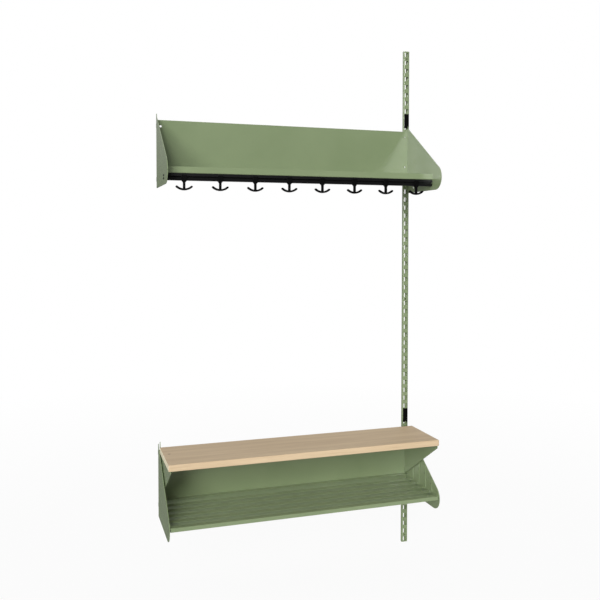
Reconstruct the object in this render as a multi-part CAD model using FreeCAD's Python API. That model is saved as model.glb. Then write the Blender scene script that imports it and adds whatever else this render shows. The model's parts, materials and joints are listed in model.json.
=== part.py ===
import FreeCAD, Part
import math
import os

# Wall bench for a changing room: the end section of a row, with a hat shelf, a coat rail
# with sliding hooks, a wooden seat and a shoe shelf. It hangs in one slotted upright on
# its right, and its left hooks go into the upright of the section beside it.
# +X runs to the right along the wall, the front faces -Y, and +Z is up.
# The origin is on the front face of the upright, at the middle one of its three wall holes.
# Names ending in _height count from the foot of the upright. Lengths are in millimetres.

# Upright: a folded channel with a row of slots, whose two back lips leave a narrow gap.
upright_height = 1800.0
upright_width = 22.5
upright_depth = 12.0
back_gap = 5.0
slot_count = 62
slot_pitch = 29.1
slot_width = 13.0
slot_tall = 15.0
wall_hole_radius = 3.5

# Sheet and plate, and where the two ends of the section are.
sheet_gauge = 1.5
plate_gauge = 2.0
bend_radius = 1.5
left_gable_face = -901.0
right_gable_face = 5.8
rear_gap = 0.3

# Gables: the same plate at both ends of the hat shelf and of the shoe shelf. Its rear
# edge rises above the slope as an ear, which the locking clip holds.
hat_base_height = 1287.0
shoe_base_height = 201.0
gable_reach = 254.0
gable_nose_radius = 41.0
gable_rise = 236.5
gable_corner_radius = 3.0
gable_ear_rise = 242.0
ear_top_depth = 3.0
ear_depth = 8.0
gable_hole_y = -49.0
gable_hole_rise = 17.0
gable_hole_radius = 3.5

# Hook lugs that hang the plates in the slots.
lug_neck = 9.0
lug_drop = 5.0
lug_reach = 4.7
lug_play = 0.2
lug_chamfer = 1.5
low_lug_rise = 35.0
high_lug_rise = 210.0

# Hat shelf tray: back, floor, front lip and two end flanges, folded from one sheet.
floor_rise = 35.0
back_rise = 222.5
tray_reach = 193.0
lip_rise = 20.0
end_flange_rise = 15.0
end_flange_inset = 10.0
relief_width = 1.0
back_hole_rises = (95.0, 202.0)
back_hole_inset = 12.0
back_hole_radius = 3.5

# Coat rail: an extrusion under the front of the tray, with a slot along its front.
rail_tall = 21.5
rail_depth = 22.0
rail_tilt = 1.4
rail_edge_radius = 1.5
rail_slot_rise = 10.5
rail_mouth = 4.0
rail_lip = 2.0
rail_cavity_tall = 12.0
rail_cavity_depth = 5.0
rail_port_radius = 2.0
rail_port_rises = (5.5, 14.5)
rail_port_inset = 15.5
rail_pocket_depth = 2.5
rail_pocket_tall = 13.0
rail_screw_head_radius = 3.2
rail_screw_head_thickness = 2.2
rail_screw_length = 16.0

# Hooks: a head that slides in the rail, a flared neck, and two arms like an anchor's.
hook_count = 8
hook_pitch = 112.0
hook_row_centre = -449.7
hook_half_span = 26.0
hook_arm_gauge = 6.0
hook_arm_sag = 8.5
hook_drop = 31.0
hook_stem_width = 7.0
hook_head_width = 16.0
hook_head_rise = 16.5
hook_flare_drop = 6.5
hook_shoulder_drop = 1.5
hook_neck_radius = 4.0
hook_thickness = 8.0
hook_head_thickness = 3.7
hook_play = 0.3

# Seat: one board on two folded brackets.
seat_top_height = 446.0
seat_thickness = 20.6
seat_left = -902.5
seat_right = 2.0
seat_back = -53.0
seat_front = -255.0
seat_edge_radius = 3.0
bracket_foot_height = 257.0
bracket_ear_height = 450.0
bracket_reach = 249.0
bracket_nose = 9.0
bracket_nose_radius = 3.0
bracket_foot_radius = 6.0
bracket_flange = 25.0
bracket_gap = 2.1
left_bracket_face = -896.0
right_bracket_face = -1.0
bracket_lug_heights = (274.0, 420.0)
seat_screw_places = (-85.0, -225.0)
seat_screw_length = 14.0
seat_screw_radius = 2.0
seat_screw_head_radius = 4.0
seat_screw_head_thickness = 2.2
screw_sides = 12

# Shoe shelf: five slats that turn up at both gables, and a back panel with a ledge.
# Each slat is stiffened by a leg at its back, and the front one also by a leg in front.
slat_count = 5
slat_pitch = 47.0
first_slat = -49.5
slat_width = 24.0
slat_back_leg = 20.0
slat_front_leg = 12.0
slat_top_height = 252.0
tab_top_height = 330.0
tab_margin = 10.0
tab_chamfer = 2.0
last_tab_front_radius = 8.0
panel_rise = 35.0
panel_tall = 187.0
ledge_rise = 58.0
ledge_reach = 21.8
slit_play = 1.0

# Locking clips: one above the hat shelf and one above the seat.
clip_width = 17.2
clip_tall = 50.5
clip_thickness = 4.0
clip_centre = -0.8
clip_corner_radius = 2.0
clip_foot_heights = {"lock_clip_upper": 1523.0, "lock_clip_lower": 447.0}
clip_slots = {"lock_clip_upper": 1554.0, "lock_clip_lower": 478.0}
clip_slit_play = 0.3
peg_play = 0.4
peg_barb = 1.2
peg_reach = 5.0

X_AXIS = FreeCAD.Vector(1, 0, 0)
Y_AXIS = FreeCAD.Vector(0, 1, 0)
Z_AXIS = FreeCAD.Vector(0, 0, 1)

left_inner = left_gable_face + plate_gauge
right_inner = right_gable_face - plate_gauge
outer_bend = sheet_gauge + bend_radius
rail_front = -tray_reach


def level(height):
    """Turn a height above the foot of the upright into a place on the Z axis."""
    return height - upright_height / 2


tray_floor = level(hat_base_height + floor_rise)
rail_base = tray_floor - rail_tall
rail_slot = rail_base + rail_slot_rise


def box(x, y, z):
    """A box from three (low, high) pairs."""
    corner = FreeCAD.Vector(x[0], y[0], z[0])
    return Part.makeBox(x[1] - x[0], y[1] - y[0], z[1] - z[0], corner)


def rod(start, direction, radius, length):
    """A round bar from a point along a direction."""
    return Part.makeCylinder(radius, length, FreeCAD.Vector(*start), direction)


def rounded_outline(points, radii):
    """A closed wire of 3D points whose corners are rounded by the given radii."""
    corners = [FreeCAD.Vector(*point) for point in points]
    trims = []
    for index, corner in enumerate(corners):
        radius = radii[index]
        if radius == 0:
            trims.append((corner, None, corner))
            continue
        before = (corners[index - 1] - corner).normalize()
        after = (corners[(index + 1) % len(corners)] - corner).normalize()
        half_angle = before.getAngle(after) / 2
        trim = radius / math.tan(half_angle)
        bisector = (before + after).normalize()
        middle = corner + bisector * (radius / math.sin(half_angle) - radius)
        trims.append((corner + before * trim, middle, corner + after * trim))
    edges = []
    for index, (start, middle, end) in enumerate(trims):
        if middle is not None:
            edges.append(Part.Arc(start, middle, end).toShape())
        next_start = trims[(index + 1) % len(trims)][0]
        if end.distanceToPoint(next_start) > 0.001:
            edges.append(Part.LineSegment(end, next_start).toShape())
    return Part.Wire(edges)


def prism(points, radii, along):
    """Extrude a rounded outline along a vector."""
    return Part.Face(rounded_outline(points, radii)).extrude(along)


def across(x, pairs):
    """Give (y, z) pairs a place on the X axis."""
    return [(x, y, z) for y, z in pairs]


def slot_level(height):
    """The middle of the slot nearest to a height above the foot."""
    first = (upright_height - (slot_count - 1) * slot_pitch) / 2
    return level(first + round((height - first) / slot_pitch) * slot_pitch)


def wall_upright():
    """The slotted channel with its three wall screw holes."""
    half = upright_width / 2
    inner = half - sheet_gauge
    lip = back_gap / 2
    front, back = sheet_gauge, upright_depth - sheet_gauge
    right_side = [(half, 0), (half, upright_depth), (lip, upright_depth), (lip, back),
                  (inner, back), (inner, front)]
    left_side = [(-x, y) for x, y in reversed(right_side)]
    points = [(x, y, level(0)) for x, y in right_side + left_side]
    radii = [outer_bend, outer_bend, 0, 0, bend_radius, bend_radius]
    channel = prism(points, radii + radii[::-1], Z_AXIS * upright_height)
    cutters = []
    for index in range(slot_count):
        middle = slot_level(0) + index * slot_pitch
        cutters.append(box((-slot_width / 2, slot_width / 2), (-1, 2 * sheet_gauge),
                           (middle - slot_tall / 2, middle + slot_tall / 2)))
    for end in (-1, 0, 1):
        hole_level = end * (slot_count - 2) * slot_pitch / 2
        cutters.append(rod((0, -1, hole_level), Y_AXIS, wall_hole_radius, 3 * sheet_gauge))
    return channel.cut(Part.makeCompound(cutters))


def lug(x, rear, height):
    """A hook lug from a plate's rear edge: a neck through a slot and a drop behind it."""
    slot_floor = slot_level(height) - slot_tall / 2
    root = -rear - 1
    behind = sheet_gauge + lug_play
    top = slot_floor + lug_neck
    points = across(x, [(root, slot_floor), (behind, slot_floor),
                        (behind, slot_floor - lug_drop), (lug_reach, slot_floor - lug_drop),
                        (lug_reach, top - lug_chamfer), (lug_reach - lug_chamfer, top),
                        (root, top)])
    return prism(points, [0] * len(points), X_AXIS * plate_gauge)


def gable_slope():
    """The steepness of the sloping edge, which runs from the nose to the top."""
    run = gable_reach - gable_nose_radius - rear_gap
    rise = gable_rise - gable_nose_radius
    sagging = math.asin(gable_nose_radius / math.hypot(run, rise))
    return math.tan(math.atan2(rise, run) - sagging)


def ear(x, rear, top, foot):
    """The pointed top of a plate's rear edge, which the locking clip holds."""
    points = across(x, [(-rear, foot), (-rear - ear_depth, foot), (-rear - ear_top_depth, top),
                        (-rear, top)])
    return prism(points, [0] * len(points), X_AXIS * plate_gauge)


def gable(x, base_height):
    """A gable plate with its ear, its hole and its two lugs."""
    base = level(base_height)
    slope = gable_slope()
    points = across(x, [(-rear_gap, base), (-rear_gap - gable_rise / slope, base),
                        (-rear_gap, base + gable_rise)])
    plate = prism(points, [gable_corner_radius, gable_nose_radius, 0], X_AXIS * plate_gauge)
    lugs = [lug(x, rear_gap, base_height + rise) for rise in (low_lug_rise, high_lug_rise)]
    lugs.append(ear(x, rear_gap, base + gable_ear_rise, base + gable_rise - ear_depth * slope))
    hole = rod((x - 1, gable_hole_y, base + gable_hole_rise), X_AXIS,
               gable_hole_radius, plate_gauge + 2)
    return plate.fuse(lugs).cut(hole).removeSplitter()


def rail_ports():
    """The places of the two screw ports in the end of the rail, as (y, z)."""
    return [(rail_front + rail_port_inset, rail_base + rise) for rise in rail_port_rises]


def hat_gable(x):
    """A gable with holes for the rail screws."""
    holes = [rod((x - 1, y, z), X_AXIS, rail_port_radius, plate_gauge + 2)
             for y, z in rail_ports()]
    return gable(x, hat_base_height).cut(Part.makeCompound(holes))


def end_flange(x, inward):
    """An end of the tray floor that turns up against a gable. inward is 1 or -1."""
    floor_end = x + inward * end_flange_inset
    points = [(x, 0, 0), (x, 0, end_flange_rise),
              (x + inward * sheet_gauge, 0, end_flange_rise),
              (x + inward * sheet_gauge, 0, sheet_gauge),
              (floor_end, 0, sheet_gauge), (floor_end, 0, 0)]
    length = tray_reach - 2 * end_flange_inset
    flange = prism(points, [outer_bend, 0, 0, bend_radius, 0, 0], Y_AXIS * length)
    flange.translate(FreeCAD.Vector(0, end_flange_inset - tray_reach, tray_floor))
    return flange


def hat_tray():
    """The folded tray with its end flanges and its four open holes."""
    rear = -rear_gap
    inner_rear = rear - sheet_gauge
    top = level(hat_base_height + back_rise)
    lip_top = tray_floor + lip_rise
    lip_inner = -tray_reach + sheet_gauge
    floor_top = tray_floor + sheet_gauge
    points = across(left_inner, [(rear, top), (rear, tray_floor), (-tray_reach, tray_floor),
                                 (-tray_reach, lip_top), (lip_inner, lip_top),
                                 (lip_inner, floor_top), (inner_rear, floor_top),
                                 (inner_rear, top)])
    radii = [0, outer_bend, outer_bend, 0, 0, bend_radius, bend_radius, 0]
    sheet = prism(points, radii, X_AXIS * (right_inner - left_inner))
    y_range = (-tray_reach + end_flange_inset - relief_width, -end_flange_inset + relief_width)
    z_range = (tray_floor - 1, floor_top + bend_radius)
    cutters = [box((left_inner - 1, left_inner + end_flange_inset), y_range, z_range),
               box((right_inner - end_flange_inset, right_inner + 1), y_range, z_range)]
    for x in (left_inner + back_hole_inset, right_inner - back_hole_inset):
        for rise in back_hole_rises:
            start = (x, -tray_reach / 2, level(hat_base_height + rise))
            cutters.append(rod(start, Y_AXIS, back_hole_radius, tray_reach))
    flanges = [end_flange(left_inner, 1), end_flange(right_inner, -1)]
    return sheet.cut(Part.makeCompound(cutters)).fuse(flanges).removeSplitter()


def coat_rail():
    """The extrusion with its front slot, its two screw ports and a pocket at the back."""
    front = rail_front
    back = front + rail_depth
    lip_back = front + rail_lip
    cavity_back = lip_back + rail_cavity_depth
    top = rail_base + rail_tall
    mouth = (rail_slot - rail_mouth / 2, rail_slot + rail_mouth / 2)
    cavity = (rail_slot - rail_cavity_tall / 2, rail_slot + rail_cavity_tall / 2)
    pocket = ((rail_tall - rail_pocket_tall) / 2, (rail_tall + rail_pocket_tall) / 2)
    pocket_front = back - rail_pocket_depth
    points = across(left_inner, [
        (front + rail_tilt, top), (front, mouth[1]), (lip_back, mouth[1]),
        (lip_back, cavity[1]), (cavity_back, cavity[1]), (cavity_back, cavity[0]),
        (lip_back, cavity[0]), (lip_back, mouth[0]), (front, mouth[0]),
        (front + rail_tilt, rail_base), (back, rail_base), (back, rail_base + pocket[0]),
        (pocket_front, rail_base + pocket[0]), (pocket_front, rail_base + pocket[1]),
        (back, rail_base + pocket[1]), (back, top)])
    radii = [0] * len(points)
    radii[9] = rail_edge_radius
    bar = prism(points, radii, X_AXIS * (right_inner - left_inner))
    ports = [rod((left_inner - 1, y, z), X_AXIS, rail_port_radius, right_inner - left_inner + 2)
             for y, z in rail_ports()]
    return bar.cut(Part.makeCompound(ports))


def faceted_rod(start, direction, radius, length):
    """A bar with few sides, for the screws."""
    corners = []
    for index in range(screw_sides):
        turn = 360.0 * index / screw_sides
        arm = FreeCAD.Vector(0, radius, 0) if direction.x else FreeCAD.Vector(radius, 0, 0)
        spin = FreeCAD.Rotation(direction, turn)
        corners.append(start + spin.multVec(arm))
    outline = Part.makePolygon(corners + corners[:1])
    return Part.Face(outline).extrude(direction * length)


def screw(place, direction, shank, head):
    """A screw from under its head. shank is (radius, length), head (radius, thickness)."""
    start = FreeCAD.Vector(*place)
    body = faceted_rod(start, direction, shank[0], shank[1])
    cap = faceted_rod(start, -direction, head[0], head[1])
    return body.fuse(cap)


def rail_screws():
    """Two screws through each hat gable into the ports of the rail."""
    shank = (rail_port_radius - 0.05, rail_screw_length)
    head = (rail_screw_head_radius, rail_screw_head_thickness)
    screws = []
    for y, z in rail_ports():
        screws.append(screw((left_gable_face, y, z), X_AXIS, shank, head))
        screws.append(screw((right_gable_face, y, z), -X_AXIS, shank, head))
    return Part.makeCompound(screws)


def hook_arms():
    """The two arms of a hook as one arc of even width with round ends, about X = 0."""
    half = hook_arm_gauge / 2
    reach = hook_half_span - half
    radius = (reach ** 2 + hook_arm_sag ** 2) / (2 * hook_arm_sag)
    bottom = rail_base - hook_drop + half
    centre = FreeCAD.Vector(0, 0, bottom + radius)
    turn = math.asin(reach / radius)

    def at(distance, angle):
        return centre + FreeCAD.Vector(math.sin(angle), 0, -math.cos(angle)) * distance

    outer, inner = radius + half, radius - half
    past = turn + half / radius
    edges = [
        Part.Arc(at(outer, -turn), at(outer, 0), at(outer, turn)).toShape(),
        Part.Arc(at(outer, turn), at(radius, past), at(inner, turn)).toShape(),
        Part.Arc(at(inner, turn), at(inner, 0), at(inner, -turn)).toShape(),
        Part.Arc(at(inner, -turn), at(radius, -past), at(outer, -turn)).toShape()]
    return Part.Face(Part.Wire(edges)).extrude(Y_AXIS * hook_thickness)


def hook_shape():
    """A hook about X = 0, already at the height and depth of the rail."""
    top = rail_base + hook_head_rise
    neck = rail_base - hook_flare_drop
    foot = rail_base - hook_drop + hook_arm_gauge / 2
    head, stem = hook_head_width / 2, hook_stem_width / 2
    shoulder = rail_base - hook_shoulder_drop
    points = [(-head, 0, top), (-head, 0, shoulder), (-stem, 0, neck), (-stem, 0, foot),
              (stem, 0, foot), (stem, 0, neck), (head, 0, shoulder), (head, 0, top)]
    body = prism(points, [0, 0, hook_neck_radius, 0, 0, hook_neck_radius, 0, 0],
                 Y_AXIS * hook_thickness)
    solid = body.fuse(hook_arms())
    rest = box((-hook_half_span, hook_half_span), (hook_head_thickness, hook_thickness + 1),
               (rail_base - hook_play, top + 1))
    solid = solid.cut(rest).removeSplitter()
    solid.translate(Y_AXIS * (rail_front - hook_play - hook_head_thickness))
    half_slider = head - 1
    behind_lip = rail_front + rail_lip + hook_play
    neck_half = rail_mouth / 2 - hook_play
    plate_half = rail_cavity_tall / 2 - hook_play
    slider_back = rail_front + rail_lip + rail_cavity_depth - 1
    tongue = box((-half_slider, half_slider), (rail_front - 2 * hook_play, slider_back),
                 (rail_slot - neck_half, rail_slot + neck_half))
    plate = box((-half_slider, half_slider), (behind_lip, slider_back),
                (rail_slot - plate_half, rail_slot + plate_half))
    return solid.fuse([tongue, plate]).removeSplitter()


def hooks():
    """Every hook under its own name, in a row along the rail."""
    pattern = hook_shape()
    row = {}
    for index in range(hook_count):
        copy = pattern.copy()
        x = hook_row_centre + (index - (hook_count - 1) / 2) * hook_pitch
        copy.translate(X_AXIS * x)
        row["hook_" + str(index + 1)] = copy
    return row


def seat_board():
    """The board with its long edges eased."""
    top = level(seat_top_height)
    points = across(seat_left, [(seat_front, top - seat_thickness), (seat_front, top),
                                (seat_back, top), (seat_back, top - seat_thickness)])
    return prism(points, [seat_edge_radius] * 4, X_AXIS * (seat_right - seat_left))


def seat_bracket(face, inward):
    """A bracket with a folded top flange. face is its outer side, inward is 1 or -1."""
    foot = level(bracket_foot_height)
    top = level(seat_top_height - seat_thickness)
    inner = face + inward * plate_gauge
    edge = inner + inward * bracket_flange
    fold = [(face, 0, foot), (face, 0, top), (edge, 0, top), (edge, 0, top - plate_gauge),
            (inner, 0, top - plate_gauge), (inner, 0, foot)]
    radii = [0, plate_gauge + bend_radius, 0, 0, bend_radius, 0]
    folded = prism(fold, radii, -Y_AXIS * bracket_reach)
    x = min(face, edge)
    side = across(x, [(-bracket_gap, foot), (-bracket_reach, top - bracket_nose),
                      (-bracket_reach, top), (-bracket_gap, top)])
    outline = prism(side, [bracket_foot_radius, bracket_nose_radius, bracket_nose_radius, 0],
                    X_AXIS * abs(edge - face))
    behind_seat = box((min(inner, edge), max(inner, edge)), (seat_back, 0),
                      (top - plate_gauge - bend_radius, top))
    bracket = folded.common(outline).cut(behind_seat)
    lugs = [lug(min(face, inner), bracket_gap, height) for height in bracket_lug_heights]
    lugs.append(ear(min(face, inner), bracket_gap, level(bracket_ear_height),
                    top - plate_gauge - bend_radius))
    holes = [rod((x, y, z - 1), Z_AXIS, seat_screw_radius + 0.1, 2 * plate_gauge)
             for x, y, z in seat_screw_heads() if abs(x - face) < bracket_flange]
    return bracket.fuse(lugs).cut(Part.makeCompound(holes)).removeSplitter()


def seat_screw_heads():
    """Where the heads of the seat screws meet the undersides of the flanges."""
    z = level(seat_top_height - seat_thickness) - plate_gauge
    inset = plate_gauge + bracket_flange / 2
    return [(x, y, z) for x in (left_bracket_face + inset, right_bracket_face - inset)
            for y in seat_screw_places]


def seat_screws():
    """The four screws that go up through the bracket flanges into the board."""
    shank = (seat_screw_radius, seat_screw_length)
    head = (seat_screw_head_radius, seat_screw_head_thickness)
    return Part.makeCompound([screw(place, Z_AXIS, shank, head) for place in seat_screw_heads()])


def slat_middle(index):
    """The place of a slat on the Y axis."""
    return first_slat - index * slat_pitch


def tab_top(index):
    """The top of a slat's end tabs, which stay under the gable's sloping edge."""
    run = slat_middle(index) + rear_gap
    edge_height = shoe_base_height + gable_rise + run * gable_slope()
    return level(min(tab_top_height, edge_height - tab_margin))


def slat(index):
    """A slat that turns up at both ends, with its legs below it."""
    top = level(slat_top_height)
    under = top - sheet_gauge
    y = slat_middle(index) - slat_width / 2
    tip = tab_top(index)
    points = [(left_inner, y, tip), (left_inner, y, under), (right_inner, y, under),
              (right_inner, y, tip), (right_inner - sheet_gauge, y, tip),
              (right_inner - sheet_gauge, y, top), (left_inner + sheet_gauge, y, top),
              (left_inner + sheet_gauge, y, tip)]
    radii = [0, outer_bend, outer_bend, 0, 0, 0, 0, 0]
    strip = prism(points, radii, Y_AXIS * slat_width)
    back = y + slat_width
    foot = top - slat_back_leg
    section = [(y, top), (back, top), (back, foot), (back - sheet_gauge, foot),
               (back - sheet_gauge, under), (y, under)]
    radii = [0, outer_bend, 0, 0, bend_radius, 0]
    side = [(back - tab_chamfer, tip), (back, tip - tab_chamfer), (back, under), (y, under)]
    if index == slat_count - 1:
        toe = top - slat_front_leg
        section[-1:] = [(y + sheet_gauge, under), (y + sheet_gauge, toe), (y, toe)]
        radii = [outer_bend, outer_bend, 0, 0, bend_radius, bend_radius, 0, 0]
        side.append((y, tip))
    else:
        side += [(y, tip - tab_chamfer), (y + tab_chamfer, tip)]
    front_radius = last_tab_front_radius if index == slat_count - 1 else 0
    outline = prism(across(left_inner, side), [0] * (len(side) - 1) + [front_radius],
                    X_AXIS * (right_inner - left_inner))
    web = prism(across(left_inner + outer_bend, section), radii,
                X_AXIS * (right_inner - left_inner - 2 * outer_bend))
    between = box((left_inner + outer_bend, right_inner - outer_bend),
                  (y - 1, back + 1), (under - 1, top + 1))
    return strip.common(outline).cut(between).fuse(web).removeSplitter()


def shoe_back_panel():
    """The panel behind the shoe shelf, with a ledge and slits for the bracket lugs."""
    foot = level(shoe_base_height + panel_rise)
    ledge = level(shoe_base_height + ledge_rise)
    rear = -rear_gap
    front = rear - sheet_gauge
    width = (left_inner, right_inner)
    sheet = box(width, (front, rear), (foot, foot + panel_tall))
    sheet = sheet.fuse(box(width, (-ledge_reach, rear), (ledge - sheet_gauge, ledge)))
    slits = []
    for x in (left_bracket_face, right_bracket_face - plate_gauge):
        for height in bracket_lug_heights:
            slot_floor = slot_level(height) - slot_tall / 2
            slits.append(box((x - slit_play / 2, x + plate_gauge + slit_play / 2), (-3, 1),
                             (slot_floor - lug_drop - slit_play,
                              slot_floor + lug_neck + slit_play)))
    return sheet.cut(Part.makeCompound(slits)).removeSplitter()


def clip_slit(name, foot):
    """The cutter for the slit that takes the ear of the plate below a clip."""
    if name == "lock_clip_upper":
        x, top = right_inner, level(hat_base_height + gable_ear_rise)
    else:
        x, top = right_bracket_face - plate_gauge, level(bracket_ear_height)
    return box((x - clip_slit_play, x + plate_gauge + clip_slit_play), (-clip_thickness - 1, 0),
               (foot - 1, top + clip_slit_play))


def lock_clip(name):
    """A clip: a plate on the face of the upright, and a barbed peg in a slot."""
    foot = level(clip_foot_heights[name])
    middle = slot_level(clip_slots[name])
    left = clip_centre - clip_width / 2
    right = clip_centre + clip_width / 2
    points = [(left, 0, foot), (right, 0, foot), (right, 0, foot + clip_tall),
              (left, 0, foot + clip_tall)]
    plate = prism(points, [clip_corner_radius] * 4, -Y_AXIS * clip_thickness)
    half = slot_width / 2 - peg_play
    low = middle - slot_tall / 2 + peg_play
    high = middle + slot_tall / 2 - peg_play
    behind = sheet_gauge + lug_play
    side = [(-1, low), (peg_reach, low + peg_barb), (peg_reach, high - peg_barb),
            (behind, high + peg_barb), (behind, high), (-1, high)]
    peg = prism(across(-half, side), [0] * len(side), X_AXIS * 2 * half)
    return plate.fuse(peg).cut(clip_slit(name, foot)).removeSplitter()


def build():
    """Return every node by name."""
    nodes = {
        "wall_upright": wall_upright(),
        "hat_gable_left": hat_gable(left_gable_face),
        "hat_gable_right": hat_gable(right_inner),
        "hat_tray": hat_tray(),
        "coat_rail": coat_rail(),
        "rail_screws": rail_screws(),
        "seat_board": seat_board(),
        "seat_bracket_left": seat_bracket(left_bracket_face, 1),
        "seat_bracket_right": seat_bracket(right_bracket_face, -1),
        "seat_screws": seat_screws(),
        "shoe_gable_left": gable(left_gable_face, shoe_base_height),
        "shoe_gable_right": gable(right_inner, shoe_base_height),
        "shoe_back_panel": shoe_back_panel(),
    }
    nodes.update(hooks())
    for index in range(slat_count):
        nodes["shoe_slat_" + str(index + 1)] = slat(index)
    for name in clip_foot_heights:
        nodes[name] = lock_clip(name)
    return nodes


def main():
    os.makedirs("parts", exist_ok=True)
    for name, shape in build().items():
        shape.exportStep("parts/" + name + ".step")
        print(name, shape.isValid(), len(shape.Solids), round(shape.Volume))


main()
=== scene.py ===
import json
import math

import bmesh
import bpy
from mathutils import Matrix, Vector

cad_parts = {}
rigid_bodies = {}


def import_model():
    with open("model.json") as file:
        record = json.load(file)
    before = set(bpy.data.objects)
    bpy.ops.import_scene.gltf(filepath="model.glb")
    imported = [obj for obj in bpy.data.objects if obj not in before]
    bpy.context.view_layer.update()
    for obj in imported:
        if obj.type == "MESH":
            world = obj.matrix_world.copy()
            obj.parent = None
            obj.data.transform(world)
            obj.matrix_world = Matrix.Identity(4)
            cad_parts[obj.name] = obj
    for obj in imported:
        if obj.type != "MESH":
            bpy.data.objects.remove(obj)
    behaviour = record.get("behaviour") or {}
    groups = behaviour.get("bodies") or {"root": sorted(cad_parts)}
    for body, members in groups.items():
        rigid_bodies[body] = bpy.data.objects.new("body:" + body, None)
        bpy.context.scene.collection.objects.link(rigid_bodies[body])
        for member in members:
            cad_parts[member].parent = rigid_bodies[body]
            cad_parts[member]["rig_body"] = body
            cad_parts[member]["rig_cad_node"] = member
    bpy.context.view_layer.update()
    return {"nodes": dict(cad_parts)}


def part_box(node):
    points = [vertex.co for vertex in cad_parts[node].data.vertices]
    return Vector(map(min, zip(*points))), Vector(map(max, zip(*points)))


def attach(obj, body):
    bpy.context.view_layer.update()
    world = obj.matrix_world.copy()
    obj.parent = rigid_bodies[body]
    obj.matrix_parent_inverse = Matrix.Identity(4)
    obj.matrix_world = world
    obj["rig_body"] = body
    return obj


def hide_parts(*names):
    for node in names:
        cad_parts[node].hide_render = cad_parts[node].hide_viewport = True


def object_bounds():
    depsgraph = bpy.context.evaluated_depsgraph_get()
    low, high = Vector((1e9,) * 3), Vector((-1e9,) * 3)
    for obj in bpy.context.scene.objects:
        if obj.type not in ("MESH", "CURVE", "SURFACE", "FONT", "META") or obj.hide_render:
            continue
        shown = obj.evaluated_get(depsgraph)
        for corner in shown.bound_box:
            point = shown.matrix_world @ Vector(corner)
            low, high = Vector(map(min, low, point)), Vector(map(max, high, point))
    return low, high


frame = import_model()
section = "section"
millimetre = 0.001


# Selecting by hand and in code

def selectNothing():
    if bpy.context.object and bpy.context.object.mode != "OBJECT":
        bpy.ops.object.mode_set(mode="OBJECT")
    bpy.ops.object.select_all(action="DESELECT")


def makeActive(piece):
    selectNothing()
    piece.select_set(True)
    bpy.context.view_layer.objects.active = piece


def startEditing(piece):
    makeActive(piece)
    bpy.ops.object.mode_set(mode="EDIT")
    bpy.ops.mesh.select_mode(type="FACE")
    bpy.ops.mesh.select_all(action="DESELECT")


def selectFaces(piece, wanted):
    mesh = bmesh.from_edit_mesh(piece.data)
    for face in mesh.faces:
        face.select_set(wanted(face))
    bmesh.update_edit_mesh(piece.data)


def settle(piece):
    # its place goes into its mesh, as a CAD node's does
    makeActive(piece)
    bpy.ops.object.transform_apply(location=True, rotation=True, scale=True)


def applyBevel(piece, width, segments, angle=30):
    makeActive(piece)
    bevel = piece.modifiers.new("edge", "BEVEL")
    bevel.width = width
    bevel.segments = segments
    bevel.limit_method = "ANGLE"
    bevel.angle_limit = math.radians(angle)
    bevel.use_clamp_overlap = True
    bpy.ops.object.modifier_apply(modifier=bevel.name)


def joinPieces(pieces, name):
    selectNothing()
    for piece in pieces:
        piece.select_set(True)
    bpy.context.view_layer.objects.active = pieces[0]
    bpy.ops.object.join()
    joined = bpy.context.object
    joined.name = name
    return joined


def finishPiece(piece, body, material, nodes=(), smooth=40):
    makeActive(piece)
    bpy.ops.object.shade_smooth_by_angle(angle=math.radians(smooth))
    weighted = piece.modifiers.new("flatFaces", "WEIGHTED_NORMAL")
    weighted.keep_sharp = True
    weighted.weight = 100
    bpy.ops.object.modifier_apply(modifier=weighted.name)
    piece.data.materials.clear()
    piece.data.materials.append(material)
    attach(piece, body)
    if nodes:
        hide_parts(*nodes)
    return piece


# Materials

def newMaterial(name):
    material = bpy.data.materials.new(name)
    material.use_nodes = True
    tree = material.node_tree
    return material, tree.nodes, tree.links, tree.nodes["Principled BSDF"]


def objectCoordinates(nodes, links, scale=(1, 1, 1), centre=(0, 0, 0)):
    place = nodes.new("ShaderNodeTexCoord")
    mapping = nodes.new("ShaderNodeMapping")
    mapping.inputs["Scale"].default_value = scale
    mapping.inputs["Location"].default_value = [-c * s for c, s in zip(centre, scale)]
    links.new(place.outputs["Object"], mapping.inputs["Vector"])
    return mapping.outputs["Vector"]


def noiseAt(nodes, links, vector, scale, detail=4.0, roughness=0.5):
    noise = nodes.new("ShaderNodeTexNoise")
    noise.inputs["Scale"].default_value = scale
    noise.inputs["Detail"].default_value = detail
    noise.inputs["Roughness"].default_value = roughness
    links.new(vector, noise.inputs["Vector"])
    return noise.outputs["Fac"]


def rampBetween(nodes, links, factor, stops):
    ramp = nodes.new("ShaderNodeValToRGB")
    elements = ramp.color_ramp.elements
    while len(elements) < len(stops):
        elements.new(0.5)
    for element, (position, color) in zip(elements, stops):
        element.position = position
        element.color = (*color, 1)
    links.new(factor, ramp.inputs["Fac"])
    return ramp.outputs["Color"]


def mixColors(nodes, links, factor, first, second, blend="MIX"):
    mix = nodes.new("ShaderNodeMix")
    mix.data_type = "RGBA"
    mix.blend_type = blend
    links.new(factor, mix.inputs["Factor"])
    for socket, value in ((mix.inputs[6], first), (mix.inputs[7], second)):
        if isinstance(value, tuple):
            socket.default_value = (*value, 1)
        else:
            links.new(value, socket)
    return mix.outputs[2]


def rangeOf(nodes, links, value, low, high, start=0.0, end=1.0):
    spread = nodes.new("ShaderNodeMapRange")
    spread.inputs["From Min"].default_value = start
    spread.inputs["From Max"].default_value = end
    spread.inputs["To Min"].default_value = low
    spread.inputs["To Max"].default_value = high
    links.new(value, spread.inputs["Value"])
    return spread.outputs["Result"]


def combine(nodes, links, operation, first, second):
    node = nodes.new("ShaderNodeMath")
    node.operation = operation
    for socket, value in zip(node.inputs, (first, second)):
        if isinstance(value, (int, float)):
            socket.default_value = value
        else:
            links.new(value, socket)
    return node.outputs[0]


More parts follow.
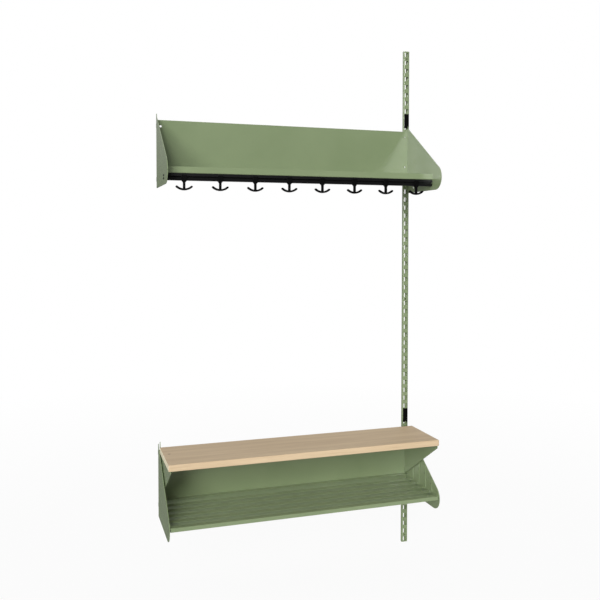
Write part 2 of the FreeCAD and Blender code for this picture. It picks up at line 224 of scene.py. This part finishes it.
def addBump(nodes, links, shader, height, strength, distance):
    bump = nodes.new("ShaderNodeBump")
    bump.inputs["Strength"].default_value = strength
    bump.inputs["Distance"].default_value = distance
    links.new(height, bump.inputs["Height"])
    links.new(bump.outputs["Normal"], shader.inputs["Normal"])


def linear(red, green, blue):
    def channel(value):
        value = value / 255
        return value / 12.92 if value <= 0.04045 else ((value + 0.055) / 1.055) ** 2.4
    return (channel(red), channel(green), channel(blue))


powderCoat = {
    "color": linear(132, 147.5, 110.5),
    "lighter": linear(136, 151.5, 114),
    "darker": linear(127, 143.5, 105.5),
    "roughness": (0.20, 0.27),
    "gloss": 1.0,
    "ior": 1.6,
    "driftScale": 5.0,
    "driftStops": (0.3, 0.5, 0.7),
    "speckScale": 1800.0,
    "speckShare": 0.25,
    "orangePeel": 420,
    "bump": (0.08, 0.0004),
}


def makePowderCoat():
    # stove-enamelled powder: one colour, drifting a little, over a fine orange peel
    material, nodes, links, shader = newMaterial("greenPowderCoat")
    place = objectCoordinates(nodes, links)
    drift = noiseAt(nodes, links, place, powderCoat["driftScale"], detail=3.0)
    shades = (powderCoat["darker"], powderCoat["color"], powderCoat["lighter"])
    color = rampBetween(nodes, links, drift, list(zip(powderCoat["driftStops"], shades)))
    speck = noiseAt(nodes, links, place, powderCoat["speckScale"], detail=2.0)
    speckled = mixColors(nodes, links, rangeOf(nodes, links, speck, 0.0, powderCoat["speckShare"]),
                         color, powderCoat["darker"])
    links.new(speckled, shader.inputs["Base Color"])
    peel = noiseAt(nodes, links, place, powderCoat["orangePeel"], detail=2.0)
    links.new(rangeOf(nodes, links, peel, *powderCoat["roughness"]), shader.inputs["Roughness"])
    addBump(nodes, links, shader, peel, *powderCoat["bump"])
    shader.inputs["Specular IOR Level"].default_value = powderCoat["gloss"]
    shader.inputs["IOR"].default_value = powderCoat["ior"]
    return material


blackRail = {
    "color": linear(11, 11, 12),
    "lighter": linear(20, 20, 21),
    "roughness": (0.30, 0.42),
    "gloss": 0.3,
    "drawLines": (1.5, 900, 900),
    "cloudStretch": (0.6, 1, 1),
    "cloudScale": 30.0,
    "cloudShare": 0.6,
    "bump": (0.08, 0.0002),
}


def makeBlackRail():
    # painted extrusion: faint draw lines along its length
    material, nodes, links, shader = newMaterial("blackRail")
    alongRail = objectCoordinates(nodes, links, blackRail["drawLines"])
    lines = noiseAt(nodes, links, alongRail, 1.0, detail=3.0)
    stretched = objectCoordinates(nodes, links, blackRail["cloudStretch"])
    cloud = noiseAt(nodes, links, stretched, blackRail["cloudScale"], detail=3.0)
    color = mixColors(nodes, links, rangeOf(nodes, links, cloud, 0.0, blackRail["cloudShare"]),
                      blackRail["color"], blackRail["lighter"])
    links.new(color, shader.inputs["Base Color"])
    links.new(rangeOf(nodes, links, lines, *blackRail["roughness"]), shader.inputs["Roughness"])
    addBump(nodes, links, shader, lines, *blackRail["bump"])
    shader.inputs["Specular IOR Level"].default_value = blackRail["gloss"]
    return material


mouldedPlastic = {
    "color": linear(4, 4, 5),
    "lighter": linear(9, 9, 9),
    "roughness": (0.38, 0.52),
    "grain": 1400,
    "gloss": 0.12,
    "bloomScale": 60.0,
    "bloomShare": 0.8,
    "bump": (0.25, 0.0003),
}


def makeMouldedPlastic(name):
    # spark-eroded grain of a moulded part, with a slight bloom
    material, nodes, links, shader = newMaterial(name)
    place = objectCoordinates(nodes, links)
    grain = noiseAt(nodes, links, place, mouldedPlastic["grain"], detail=3.0, roughness=0.6)
    bloom = noiseAt(nodes, links, place, mouldedPlastic["bloomScale"], detail=3.0)
    color = mixColors(nodes, links, rangeOf(nodes, links, bloom, 0.0, mouldedPlastic["bloomShare"]),
                      mouldedPlastic["color"], mouldedPlastic["lighter"])
    links.new(color, shader.inputs["Base Color"])
    links.new(rangeOf(nodes, links, bloom, *mouldedPlastic["roughness"]), shader.inputs["Roughness"])
    addBump(nodes, links, shader, grain, *mouldedPlastic["bump"])
    shader.inputs["Specular IOR Level"].default_value = mouldedPlastic["gloss"]
    return material


metalFinish = {
    "black": {"base": linear(18, 18, 19), "bright": linear(34, 34, 34), "metallic": 0.3},
    "zinc": {"base": linear(176, 176, 170), "bright": linear(205, 203, 196), "metallic": 1.0},
    "rivet": {"base": linear(70, 76, 62), "bright": linear(88, 94, 78), "metallic": 0.6},
    "mottleScale": 700.0,
    "roughness": (0.28, 0.5),
    "bump": (0.1, 0.0002),
}


def makeMetalFinish(name, kind):
    material, nodes, links, shader = newMaterial(name)
    finish = metalFinish[kind]
    place = objectCoordinates(nodes, links)
    mottle = noiseAt(nodes, links, place, metalFinish["mottleScale"], detail=4.0)
    color = mixColors(nodes, links, mottle, finish["base"], finish["bright"])
    links.new(color, shader.inputs["Base Color"])
    links.new(rangeOf(nodes, links, mottle, *metalFinish["roughness"]), shader.inputs["Roughness"])
    shader.inputs["Metallic"].default_value = finish["metallic"]
    addBump(nodes, links, shader, mottle, *metalFinish["bump"])
    return material


wood = {
    "light": linear(213.5, 189.5, 155.5),
    "middle": linear(206.5, 182, 147.5),
    "dark": linear(197.5, 171.5, 136.5),
    "pore": linear(175, 148, 116.5),
    # the end faces' colour, paler than the board: a painted highlight standing for lit end faces
    "end": linear(236, 230, 200),
    "knotColor": linear(120, 98, 70),
    "bands": (2.2, 45, 45),
    "fibres": (14, 900, 900),
    "bandStops": (0.32, 0.5, 0.66),
    "fibreRange": (0.56, 0.72),
    "fibreShare": 0.5,
    "endNormal": 0.8,
    "endHighlightShare": 0.85,
    # a thin band beside each end, darkened: painted shade along the end edges
    "edgeShade": 0.0025,
    "edgeShadeShare": 0.45,
    "knotInset": (0.0185, 0.1175),
    "knotSize": (0.0055, 0.004, 0.006),
    "knotShare": 0.75,
    "knotFade": (0.6, 1.1),
    "roughness": (0.42, 0.55),
    "bump": (0.15, 0.0003),
}


def nearEnds(nodes, links, low, high, depth):
    # 1 within a small depth of either end of the board, else 0
    place = nodes.new("ShaderNodeTexCoord")
    apart = nodes.new("ShaderNodeSeparateXYZ")
    links.new(place.outputs["Object"], apart.inputs[0])
    leftEnd = combine(nodes, links, "LESS_THAN", apart.outputs["X"], low + depth)
    rightEnd = combine(nodes, links, "GREATER_THAN", apart.outputs["X"], high - depth)
    return combine(nodes, links, "MAXIMUM", leftEnd, rightEnd)


def makeWood(low, high):
    # clear-lacquered board: long bands and short pores along X; both end faces are painted pale, a
    # painted highlight over the end grain
    material, nodes, links, shader = newMaterial("lacqueredWood")
    bandPlace = objectCoordinates(nodes, links, wood["bands"])
    bands = noiseAt(nodes, links, bandPlace, 1.0, detail=6.0, roughness=0.6)
    shades = (wood["dark"], wood["middle"], wood["light"])
    color = rampBetween(nodes, links, bands, list(zip(wood["bandStops"], shades)))
    fibrePlace = objectCoordinates(nodes, links, wood["fibres"])
    fibres = noiseAt(nodes, links, fibrePlace, 1.0, detail=3.0)
    pores = rangeOf(nodes, links, fibres, 0.0, wood["fibreShare"], *wood["fibreRange"])
    color = mixColors(nodes, links, pores, color, wood["pore"])
    place = nodes.new("ShaderNodeTexCoord")
    facing = nodes.new("ShaderNodeSeparateXYZ")
    links.new(place.outputs["Normal"], facing.inputs[0])
    sideways = combine(nodes, links, "ABSOLUTE", facing.outputs["X"], 0.0)
    endFace = combine(nodes, links, "GREATER_THAN", sideways, wood["endNormal"])
    # both end faces mixed towards the pale end colour: painted highlight
    paintedEndHighlight = combine(nodes, links, "MULTIPLY", endFace, wood["endHighlightShare"])
    color = mixColors(nodes, links, paintedEndHighlight, color, wood["end"])
    # top and front faces within a small depth of each end are darkened towards the pore colour:
    # painted shade along the end edges
    nearEnd = nearEnds(nodes, links, low[0], high[0], wood["edgeShade"])
    paintedShadeRim = combine(nodes, links, "SUBTRACT", nearEnd, endFace)
    color = mixColors(nodes, links, rangeOf(nodes, links, paintedShadeRim, 0.0, wood["edgeShadeShare"]), color,
                      wood["pore"])
    fromLeft, fromFront = wood["knotInset"]
    knotPlace = (low[0] + fromLeft, low[1] + fromFront, high[2])
    knotScale = tuple(1 / size for size in wood["knotSize"])
    knot = nodes.new("ShaderNodeVectorMath")
    knot.operation = "LENGTH"
    links.new(objectCoordinates(nodes, links, knotScale, knotPlace), knot.inputs[0])
    inKnot = rangeOf(nodes, links, knot.outputs["Value"], wood["knotShare"], 0.0, *wood["knotFade"])
    color = mixColors(nodes, links, inKnot, color, wood["knotColor"])
    links.new(color, shader.inputs["Base Color"])
    links.new(rangeOf(nodes, links, bands, *wood["roughness"]), shader.inputs["Roughness"])
    addBump(nodes, links, shader, fibres, *wood["bump"])
    return material


greenPaint = makePowderCoat()
railPaint = makeBlackRail()
hookPlastic = makeMouldedPlastic("hookPlastic")
clipPlastic = makeMouldedPlastic("clipPlastic")
blackScrew = makeMetalFinish("blackScrew", "black")
zincScrew = makeMetalFinish("zincScrew", "zinc")
rivetMetal = makeMetalFinish("rivetMetal", "rivet")
boardWood = makeWood(*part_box("seat_board"))
print("materials made")


# Sheet metal: the CAD sheets with their edges eased as a coat of powder leaves them

sheetMetal = {
    "easing": 0.35 * millimetre,
    "nodes": ["wall_upright", "hat_tray", "hat_gable_left", "hat_gable_right",
              "shoe_gable_left", "shoe_gable_right", "shoe_back_panel",
              "seat_bracket_left", "seat_bracket_right",
              "shoe_slat_1", "shoe_slat_2", "shoe_slat_3", "shoe_slat_4", "shoe_slat_5"],
}


cleaning = {
    "mergeDistance": 0.01 * millimetre,
    "flatAngle": 0.5,
    "sharpAngle": 40,
}


def easedCopy(nodeName, easing, segments=2):
    source = frame["nodes"][nodeName]
    piece = source.copy()
    piece.data = source.data.copy()
    piece.name = nodeName + "_finished"
    piece.parent = None
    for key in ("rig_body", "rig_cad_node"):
        if key in piece:
            del piece[key]
    bpy.context.scene.collection.objects.link(piece)
    startEditing(piece)
    bpy.ops.mesh.select_all(action="SELECT")
    bpy.ops.mesh.remove_doubles(threshold=cleaning["mergeDistance"])
    bpy.ops.mesh.dissolve_limited(angle_limit=math.radians(cleaning["flatAngle"]))
    bpy.ops.mesh.normals_make_consistent(inside=False)
    bpy.ops.object.mode_set(mode="OBJECT")
    applyBevel(piece, easing, segments, cleaning["sharpAngle"])
    return piece


def finishSheetMetal():
    for nodeName in sheetMetal["nodes"]:
        piece = easedCopy(nodeName, sheetMetal["easing"])
        finishPiece(piece, section, greenPaint, [nodeName])
    print("sheet metal finished:", len(sheetMetal["nodes"]))


finishSheetMetal()


# Coat rail

coatRail = {
    "easing": 0.3 * millimetre,
}


def finishRail():
    rail = easedCopy("coat_rail", coatRail["easing"])
    finishPiece(rail, section, railPaint, ["coat_rail"])
    print("coat rail finished")


finishRail()


# Clips

clips = {
    "easing": 0.6 * millimetre,
    "segments": 3,
    "nodes": ["lock_clip_upper", "lock_clip_lower"],
}


def finishClips():
    for name in clips["nodes"]:
        clip = easedCopy(name, clips["easing"], clips["segments"])
        finishPiece(clip, section, clipPlastic, [name])
    print("clips finished")


finishClips()


# Hooks

hooks = {
    "count": 8,
    "easing": 1.2 * millimetre,
    "segments": 3,
}


def finishHooks():
    for number in range(1, hooks["count"] + 1):
        name = "hook_" + str(number)
        hook = easedCopy(name, hooks["easing"], hooks["segments"])
        finishPiece(hook, name + "_body", hookPlastic, [name])
    print("hooks finished")


finishHooks()


# Seat board

seatBoard = {
    "easing": 3.0 * millimetre,
    "segments": 5,
}


def makeSeatBoard():
    low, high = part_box("seat_board")
    selectNothing()
    bpy.ops.mesh.primitive_cube_add(size=1, location=(low + high) / 2, scale=high - low)
    board = bpy.context.object
    board.name = "seatBoard"
    settle(board)
    applyBevel(board, seatBoard["easing"], seatBoard["segments"])
    finishPiece(board, section, boardWood, ["seat_board"])
    print("seat board made")


makeSeatBoard()


# Screws and rivets

screwSets = {
    "rail_screws": {"head": (3.2, 2.2), "shank": (1.95, 16.0), "slot": "black_screws",
                    "material": blackScrew, "socket": (1.5, 1.3)},
    "seat_screws": {"head": (4.0, 2.2), "shank": (2.0, 14.0), "slot": "zinc_screws",
                    "material": zincScrew, "cross": (4.4, 0.9, 1.2)},
}

screwShape = {
    "rimShare": 0.25,
    "overlap": 0.5 * millimetre,
    "shankSides": 20,
    "socketSides": 6,
}

# the upturned ends of the slats are riveted to the gables; the heads show on the inside
slatRivets = {
    "radius": 2.2 * millimetre,
    "tall": 1.0 * millimetre,
    "sunk": 0.2 * millimetre,
    "hole": 0.75 * millimetre,
    "rounding": 0.55 * millimetre,
    "forward": 5.0 * millimetre,
    "belowTabTop": {1: 28, 2: 28, 3: 28, 4: 18},
    "slatGauge": 1.5 * millimetre,
    "sides": 24,
    "holeSides": 12,
    "holeFloorShare": 0.3,
}


def addCylinder(radius, low, high, sides=32):
    selectNothing()
    bpy.ops.mesh.primitive_cylinder_add(vertices=sides, radius=radius, depth=high - low,
                                        location=(0, 0, (low + high) / 2))
    settle(bpy.context.object)
    return bpy.context.object


def addBlock(size, middle):
    selectNothing()
    bpy.ops.mesh.primitive_cube_add(size=1, location=middle, scale=size)
    settle(bpy.context.object)
    return bpy.context.object


def combineSolids(piece, other, operation):
    makeActive(piece)
    step = piece.modifiers.new("solids", "BOOLEAN")
    step.operation = operation
    step.solver = "EXACT"
    step.object = other
    bpy.ops.object.modifier_apply(modifier=step.name)
    bpy.data.objects.remove(other)


def roundLowerRim(piece, width):
    startEditing(piece)
    selectFaces(piece, lambda face: face.normal.z < -0.9)
    bpy.ops.mesh.bevel(offset=width, segments=3, affect="EDGES")
    bpy.ops.object.mode_set(mode="OBJECT")


def makeScrew(settings):
    # about the Z axis: the head hangs below the origin and the shank stands above it
    headRadius, headTall = (value * millimetre for value in settings["head"])
    shankRadius, shankLong = (value * millimetre for value in settings["shank"])
    screw = addCylinder(headRadius, -headTall, 0)
    roundLowerRim(screw, screwShape["rimShare"] * headTall)
    if "socket" in settings:
        reach, deep = (value * millimetre for value in settings["socket"])
        socket = addCylinder(reach, -2 * headTall, deep - headTall, screwShape["socketSides"])
        combineSolids(screw, socket, "DIFFERENCE")
    else:
        long, wide, deep = (value * millimetre for value in settings["cross"])
        for size in ((long, wide, 2 * deep), (wide, long, 2 * deep)):
            combineSolids(screw, addBlock(size, (0, 0, -headTall)), "DIFFERENCE")
    shank = addCylinder(shankRadius, -screwShape["overlap"], shankLong, screwShape["shankSides"])
    combineSolids(screw, shank, "UNION")
    return screw


def placeCopy(pattern, turn, place):
    copy = pattern.copy()
    copy.data = pattern.data.copy()
    bpy.context.scene.collection.objects.link(copy)
    copy.rotation_euler = turn
    copy.location = place
    settle(copy)
    return copy


def finishScrews(name, places):
    # places are (turn, place) pairs
    settings = screwSets[name]
    pattern = makeScrew(settings)
    copies = [placeCopy(pattern, turn, place) for turn, place in places]
    bpy.data.objects.remove(pattern)
    screws = joinPieces(copies, name + "_finished")
    finishPiece(screws, section, settings["material"], [name])


def makeRailScrews():
    low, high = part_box("rail_screws")
    radius, tall = (value * millimetre for value in screwSets["rail_screws"]["head"])
    middle = (low[1] + high[1]) / 2
    quarter = math.radians(90)
    places = []
    for level in (low[2] + radius, high[2] - radius):
        places.append(((0, quarter, 0), (low[0] + tall, middle, level)))
        places.append(((0, -quarter, 0), (high[0] - tall, middle, level)))
    finishScrews("rail_screws", places)


def makeSeatScrews():
    low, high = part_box("seat_screws")
    radius, tall = (value * millimetre for value in screwSets["seat_screws"]["head"])
    places = [((0, 0, 0), (x, y, low[2] + tall)) for x in (low[0] + radius, high[0] - radius)
              for y in (low[1] + radius, high[1] - radius)]
    finishScrews("seat_screws", places)


def makeRivet():
    # a blind rivet about the Z axis, its head pointing down, with its hollow middle
    radius, tall = slatRivets["radius"], slatRivets["tall"]
    rivet = addCylinder(radius, -tall, slatRivets["sunk"], slatRivets["sides"])
    roundLowerRim(rivet, slatRivets["rounding"])
    holeFloor = -slatRivets["holeFloorShare"] * tall
    hole = addCylinder(slatRivets["hole"], -2 * tall, holeFloor, slatRivets["holeSides"])
    combineSolids(rivet, hole, "DIFFERENCE")
    return rivet


def makeSlatRivets():
    pattern = makeRivet()
    quarter = math.radians(90)
    gauge = slatRivets["slatGauge"]
    copies = []
    for number, below in slatRivets["belowTabTop"].items():
        low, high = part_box("shoe_slat_" + str(number))
        y = (low[1] + high[1]) / 2 - slatRivets["forward"]
        z = high[2] - below * millimetre
        copies.append(placeCopy(pattern, (0, -quarter, 0), (low[0] + gauge, y, z)))
        copies.append(placeCopy(pattern, (0, quarter, 0), (high[0] - gauge, y, z)))
    bpy.data.objects.remove(pattern)
    rivets = joinPieces(copies, "slatRivets")
    finishPiece(rivets, section, rivetMetal)


makeRailScrews()
makeSeatScrews()
makeSlatRivets()
print("screws and rivets made")


# Studio: floor, world, lamps and camera

studio = {
    "floorSize": 9.0,
    "floorMiddle": (-0.45, -0.2),
    "floorMottle": 2.0,
    "floorMottleStops": (0.3, 0.7),
    "floorRoughness": 0.9,
    "floorColor": (0.70, 0.70, 0.695),
    "floorLighter": (0.74, 0.74, 0.74),
    "floorWhite": 0.93,
    "floorFade": (1.2, 3.4),
    "brightSide": (0.25, 0.72, 0.65),
    "worldLight": (0.1, 0.58),
    "reflectedFloor": 0.15,
    "reflectedFront": 0.1,
    "reflectedBehind": 0.65,
    "behindFade": (-0.1, 0.4),
    "aboveFade": (0.05, 0.3),
}


def backgroundRays(nodes, links):
    # 1 for what the camera, a mirror or a glass sees
    path = nodes.new("ShaderNodeLightPath")
    glossy = combine(nodes, links, "MAXIMUM", path.outputs["Is Glossy Ray"],
                     path.outputs["Is Transmission Ray"])
    return path.outputs["Is Camera Ray"], glossy


def makeFloor():
    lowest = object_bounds()[0][2]
    selectNothing()
    x, y = studio["floorMiddle"]
    bpy.ops.mesh.primitive_plane_add(size=studio["floorSize"], location=(x, y, lowest))
    floor = bpy.context.object
    floor.name = "studioFloor"
    settle(floor)
    material, nodes, links, shader = newMaterial("studioFloor")
    mottle = noiseAt(nodes, links, objectCoordinates(nodes, links), studio["floorMottle"])
    shades = (studio["floorColor"], studio["floorLighter"])
    color = rampBetween(nodes, links, mottle, list(zip(studio["floorMottleStops"], shades)))
    links.new(color, shader.inputs["Base Color"])
    shader.inputs["Roughness"].default_value = studio["floorRoughness"]
    camera, glossy = backgroundRays(nodes, links)
    distance = nodes.new("ShaderNodeVectorMath")
    distance.operation = "LENGTH"
    links.new(objectCoordinates(nodes, links, (1, 1, 0), (x, y, 0)), distance.inputs[0])
    whiteness = rangeOf(nodes, links, distance.outputs["Value"], studio["floorWhite"], 1.0,
                        *studio["floorFade"])
    surface = shader.outputs[0]
    for factor, strength in ((combine(nodes, links, "MULTIPLY", camera, whiteness), 1.0),
                             (glossy, studio["reflectedFloor"])):
        glow = nodes.new("ShaderNodeEmission")
        glow.inputs["Strength"].default_value = strength
        mix = nodes.new("ShaderNodeMixShader")
        links.new(factor, mix.inputs["Fac"])
        links.new(surface, mix.inputs[1])
        links.new(glow.outputs[0], mix.inputs[2])
        surface = mix.outputs[0]
    links.new(surface, nodes["Material Output"].inputs["Surface"])
    floor.data.materials.append(material)


def makeWorld():
    world = bpy.data.worlds.new("studioWorld")
    bpy.context.scene.world = world
    world.use_nodes = True
    nodes, links = world.node_tree.nodes, world.node_tree.links
    background = nodes["Background"]
    background.inputs["Color"].default_value = (1, 1, 1, 1)
    direction = nodes.new("ShaderNodeTexCoord")
    toBright = nodes.new("ShaderNodeVectorMath")
    toBright.operation = "DOT_PRODUCT"
    toBright.inputs[1].default_value = studio["brightSide"]
    links.new(direction.outputs["Generated"], toBright.inputs[0])
    links.new(rangeOf(nodes, links, toBright.outputs["Value"], *studio["worldLight"], -1.0, 1.0),
              background.inputs["Strength"])
    seen = nodes.new("ShaderNodeBackground")
    seen.inputs["Color"].default_value = (1, 1, 1, 1)
    camera, glossy = backgroundRays(nodes, links)
    apart = nodes.new("ShaderNodeSeparateXYZ")
    links.new(direction.outputs["Generated"], apart.inputs[0])
    behind = rangeOf(nodes, links, apart.outputs["Y"], 0.0, 1.0, *studio["behindFade"])
    above = rangeOf(nodes, links, apart.outputs["Z"], 0.0, 1.0, *studio["aboveFade"])
    behind = rangeOf(nodes, links, combine(nodes, links, "MULTIPLY", behind, above),
                     studio["reflectedFront"], studio["reflectedBehind"])
    links.new(combine(nodes, links, "MAXIMUM", camera, behind), seen.inputs["Strength"])
    mix = nodes.new("ShaderNodeMixShader")
    links.new(combine(nodes, links, "MAXIMUM", camera, glossy), mix.inputs["Fac"])
    links.new(background.outputs[0], mix.inputs[1])
    links.new(seen.outputs[0], mix.inputs[2])
    links.new(mix.outputs[0], nodes["World Output"].inputs["Surface"])


# each broad lamp stands in front: azimuth counts to the left of straight ahead
lamps = {
    "low": {"azimuth": 36, "elevation": 6, "strength": 1.3, "spread": 20},
    "high": {"azimuth": 25, "elevation": 26, "strength": 1.85, "spread": 20},
}


def makeLamp(name):
    settings = lamps[name]
    light = bpy.data.lights.new(name, "SUN")
    light.energy = settings["strength"]
    light.angle = math.radians(settings["spread"])
    lamp = bpy.data.objects.new(name, light)
    bpy.context.scene.collection.objects.link(lamp)
    azimuth = math.radians(settings["azimuth"])
    elevation = math.radians(settings["elevation"])
    shining = Vector((math.sin(azimuth) * math.cos(elevation),
                      math.cos(azimuth) * math.cos(elevation), -math.sin(elevation)))
    lamp.rotation_euler = shining.to_track_quat("-Z", "Y").to_euler()


photoCamera = {
    "place": (-1.2057, -2.4551, 0.2262),
    "turn": 18.0,
    "tilt": 1.8,
    "focal": 740.1,
    "middle": (299.8, 260.6),
    "imageSize": 600,
    "sensor": 36.0,
}


def makeCamera():
    lens = bpy.data.cameras.new("photoCamera")
    lens.sensor_width = photoCamera["sensor"]
    lens.lens = photoCamera["sensor"] * photoCamera["focal"] / photoCamera["imageSize"]
    half = photoCamera["imageSize"] / 2
    lens.shift_x = (half - photoCamera["middle"][0]) / photoCamera["imageSize"]
    lens.shift_y = (photoCamera["middle"][1] - half) / photoCamera["imageSize"]
    camera = bpy.data.objects.new("photoCamera", lens)
    bpy.context.scene.collection.objects.link(camera)
    camera.location = photoCamera["place"]
    camera.rotation_euler = (math.radians(90 - photoCamera["tilt"]), 0,
                             -math.radians(photoCamera["turn"]))
    bpy.context.scene.camera = camera


makeFloor()
makeWorld()
for lampName in lamps:
    makeLamp(lampName)
makeCamera()
bpy.context.scene.view_settings.view_transform = "Standard"
print("studio made")
